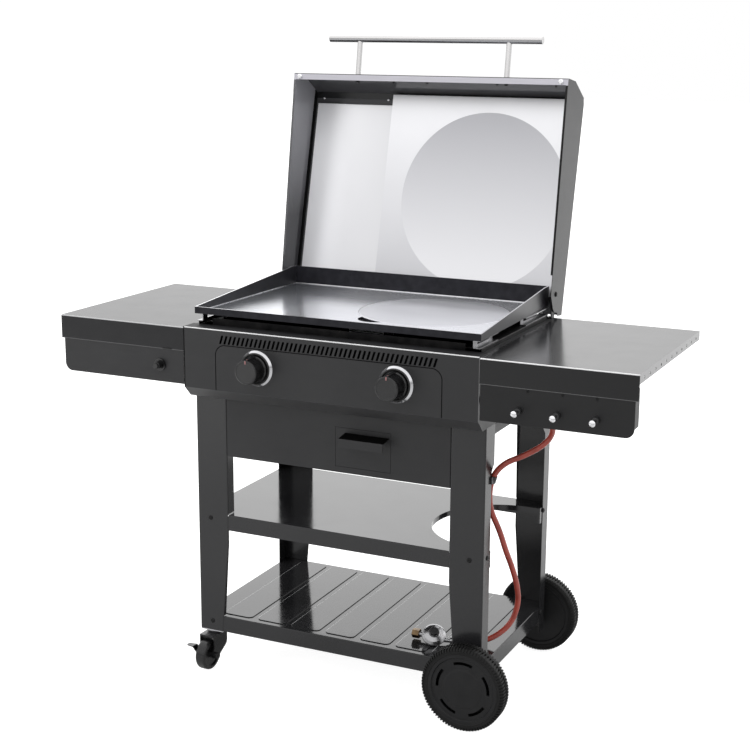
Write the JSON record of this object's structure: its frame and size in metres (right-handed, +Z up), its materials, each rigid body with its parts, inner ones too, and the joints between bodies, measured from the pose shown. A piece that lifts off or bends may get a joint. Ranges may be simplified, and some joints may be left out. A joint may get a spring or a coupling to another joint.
{
  "type": "outdoor gas griddle station",
  "caption": "Wheeled gas griddle cart with a deep hinged lid, a flat steel cooking plate with a round lift-out insert, side shelves, a gas bottle slot, a grease drawer, a hose and a regulator.",
  "frame": {"origin": "on the floor, under the centre of the whole station with its lid open", "axes": "+X to the right as the cook faces it, +Y to the back, +Z up"},
  "size_m": [1.436, 0.7217, 1.5281],
  "materials": {
    "satin_black": "satin powder coat",
    "gloss_black": "semi-gloss powder coat",
    "griddle_steel": "dark seasoned steel",
    "zinc_sheet": "galvanised",
    "bright_steel": "fine brushed stainless",
    "chrome": "polished",
    "brass": "machined",
    "black_plastic": "fine grained",
    "tyre_rubber": "matt black rubber",
    "castor_zinc": "zinc plated",
    "regulator_zinc": "die cast",
    "hose_rubber": "smooth orange-red rubber"
  },
  "bodies": {
    "cart": {"leg_front_left": "satin_black", "leg_front_right": "satin_black", "leg_rear_left": "satin_black", "leg_rear_right": "satin_black", "front_skirt": "satin_black", "top_rails": "satin_black", "mid_shelf": "gloss_black", "bottom_shelf": "gloss_black", "control_panel": "satin_black", "body_shell": "satin_black", "heat_shield": "zinc_sheet", "firebox": "zinc_sheet", "burner_left": "zinc_sheet", "burner_right": "zinc_sheet", "gas_manifold": "brass", "knob_bezels": "chrome", "grease_chute": "zinc_sheet", "hinge_brackets": "zinc_sheet", "hinge_pins": "chrome", "side_shelf_left": "gloss_black", "side_shelf_right": "gloss_black", "shelf_front_left": "satin_black", "shelf_front_right": "satin_black", "utensil_hooks": "chrome", "igniter_housing": "black_plastic", "drawer_guide": "satin_black", "wheel_axle": "bright_steel", "castor_plates": "castor_zinc", "gas_hose": "hose_rubber", "hose_clip": "black_plastic", "regulator": "regulator_zinc", "regulator_nut": "brass"},
    "lid": {"lid_shell": "satin_black", "lid_liner_left": "bright_steel", "lid_liner_right": "bright_steel", "lid_handle": "bright_steel", "lid_bumpers": "tyre_rubber"},
    "griddle": {"griddle_plate": "griddle_steel", "griddle_feet": "zinc_sheet"},
    "insert": {"round_insert": "griddle_steel"},
    "push_left": {"stem_collar_left": "bright_steel"},
    "dial_left": {"valve_stem_left": "brass", "knob_left": "black_plastic"},
    "push_right": {"stem_collar_right": "bright_steel"},
    "dial_right": {"valve_stem_right": "brass", "knob_right": "black_plastic"},
    "igniter": {"igniter_button": "black_plastic"},
    "drawer": {"grease_drawer": "zinc_sheet", "drawer_front": "satin_black"},
    "wheel_front": {"wheel_hub_front": "black_plastic", "wheel_tyre_front": "tyre_rubber"},
    "wheel_rear": {"wheel_hub_rear": "black_plastic", "wheel_tyre_rear": "tyre_rubber"},
    "castor_front": {"castor_fork_front": "castor_zinc"},
    "castor_roller_front": {"castor_wheel_front": "tyre_rubber"},
    "brake_front": {"castor_brake_front": "castor_zinc"},
    "castor_rear": {"castor_fork_rear": "castor_zinc"},
    "castor_roller_rear": {"castor_wheel_rear": "tyre_rubber"},
    "brake_rear": {"castor_brake_rear": "castor_zinc"}
  },
  "joints": [
    {"name": "lid_hinge", "type": "hinge", "parent": "cart", "child": "lid", "pos_m": [0, 0.19507, 0.922], "axis": [-1, 0, 0], "range_deg": [-100.07, 0]},
    {"name": "griddle_lift", "type": "slide", "parent": "cart", "child": "griddle", "axis": [0, 0, 1], "range_m": [0, 0.1]},
    {"name": "insert_lift", "type": "slide", "parent": "griddle", "child": "insert", "axis": [0, 0, 1], "range_m": [0, 0.1]},
    {"name": "knob_push_left", "type": "slide", "parent": "cart", "child": "push_left", "axis": [0, 1, 0], "range_m": [0, 0.004], "stiffness_N_per_m": 900},
    {"name": "knob_turn_left", "type": "hinge", "parent": "push_left", "child": "dial_left", "pos_m": [-0.175, -0.30893, 0.785], "axis": [0, -1, 0], "range_deg": [0, 210]},
    {"name": "knob_push_right", "type": "slide", "parent": "cart", "child": "push_right", "axis": [0, 1, 0], "range_m": [0, 0.004], "stiffness_N_per_m": 900},
    {"name": "knob_turn_right", "type": "hinge", "parent": "push_right", "child": "dial_right", "pos_m": [0.175, -0.30893, 0.785], "axis": [0, -1, 0], "range_deg": [0, 210]},
    {"name": "igniter_push", "type": "slide", "parent": "cart", "child": "igniter", "axis": [0, 1, 0], "range_m": [0, 0.005], "stiffness_N_per_m": 600},
    {"name": "drawer_slide", "type": "slide", "parent": "cart", "child": "drawer", "axis": [0, -1, 0], "range_m": [0, 0.22]},
    {"name": "wheel_spin_front", "type": "hinge", "parent": "cart", "child": "wheel_front", "pos_m": [0.345, -0.29293, 0.1], "axis": [0, 1, 0], "continuous": true},
    {"name": "wheel_spin_rear", "type": "hinge", "parent": "cart", "child": "wheel_rear", "pos_m": [0.345, 0.21107, 0.1], "axis": [0, 1, 0], "continuous": true},
    {"name": "castor_swivel_front", "type": "hinge", "parent": "cart", "child": "castor_front", "pos_m": [-0.345, -0.23193, 0.086], "axis": [0, 0, 1], "continuous": true},
    {"name": "castor_roll_front", "type": "hinge", "parent": "castor_front", "child": "castor_roller_front", "pos_m": [-0.34683, -0.26688, 0.0375], "axis": [0.9986, -0.0523, 0], "continuous": true},
    {"name": "brake_press_front", "type": "hinge", "parent": "castor_front", "child": "brake_front", "pos_m": [-0.34683, -0.26688, 0.0375], "axis": [0.9986, -0.0523, 0], "range_deg": [0, 12]},
    {"name": "castor_swivel_rear", "type": "hinge", "parent": "cart", "child": "castor_rear", "pos_m": [-0.345, 0.15007, 0.086], "axis": [0, 0, 1], "continuous": true},
    {"name": "castor_roll_rear", "type": "hinge", "parent": "castor_rear", "child": "castor_roller_rear", "pos_m": [-0.34683, 0.11512, 0.0375], "axis": [0.9986, -0.0523, 0], "continuous": true},
    {"name": "brake_press_rear", "type": "hinge", "parent": "castor_rear", "child": "brake_rear", "pos_m": [-0.34683, 0.11512, 0.0375], "axis": [0.9986, -0.0523, 0], "range_deg": [0, 12]}
  ]
}
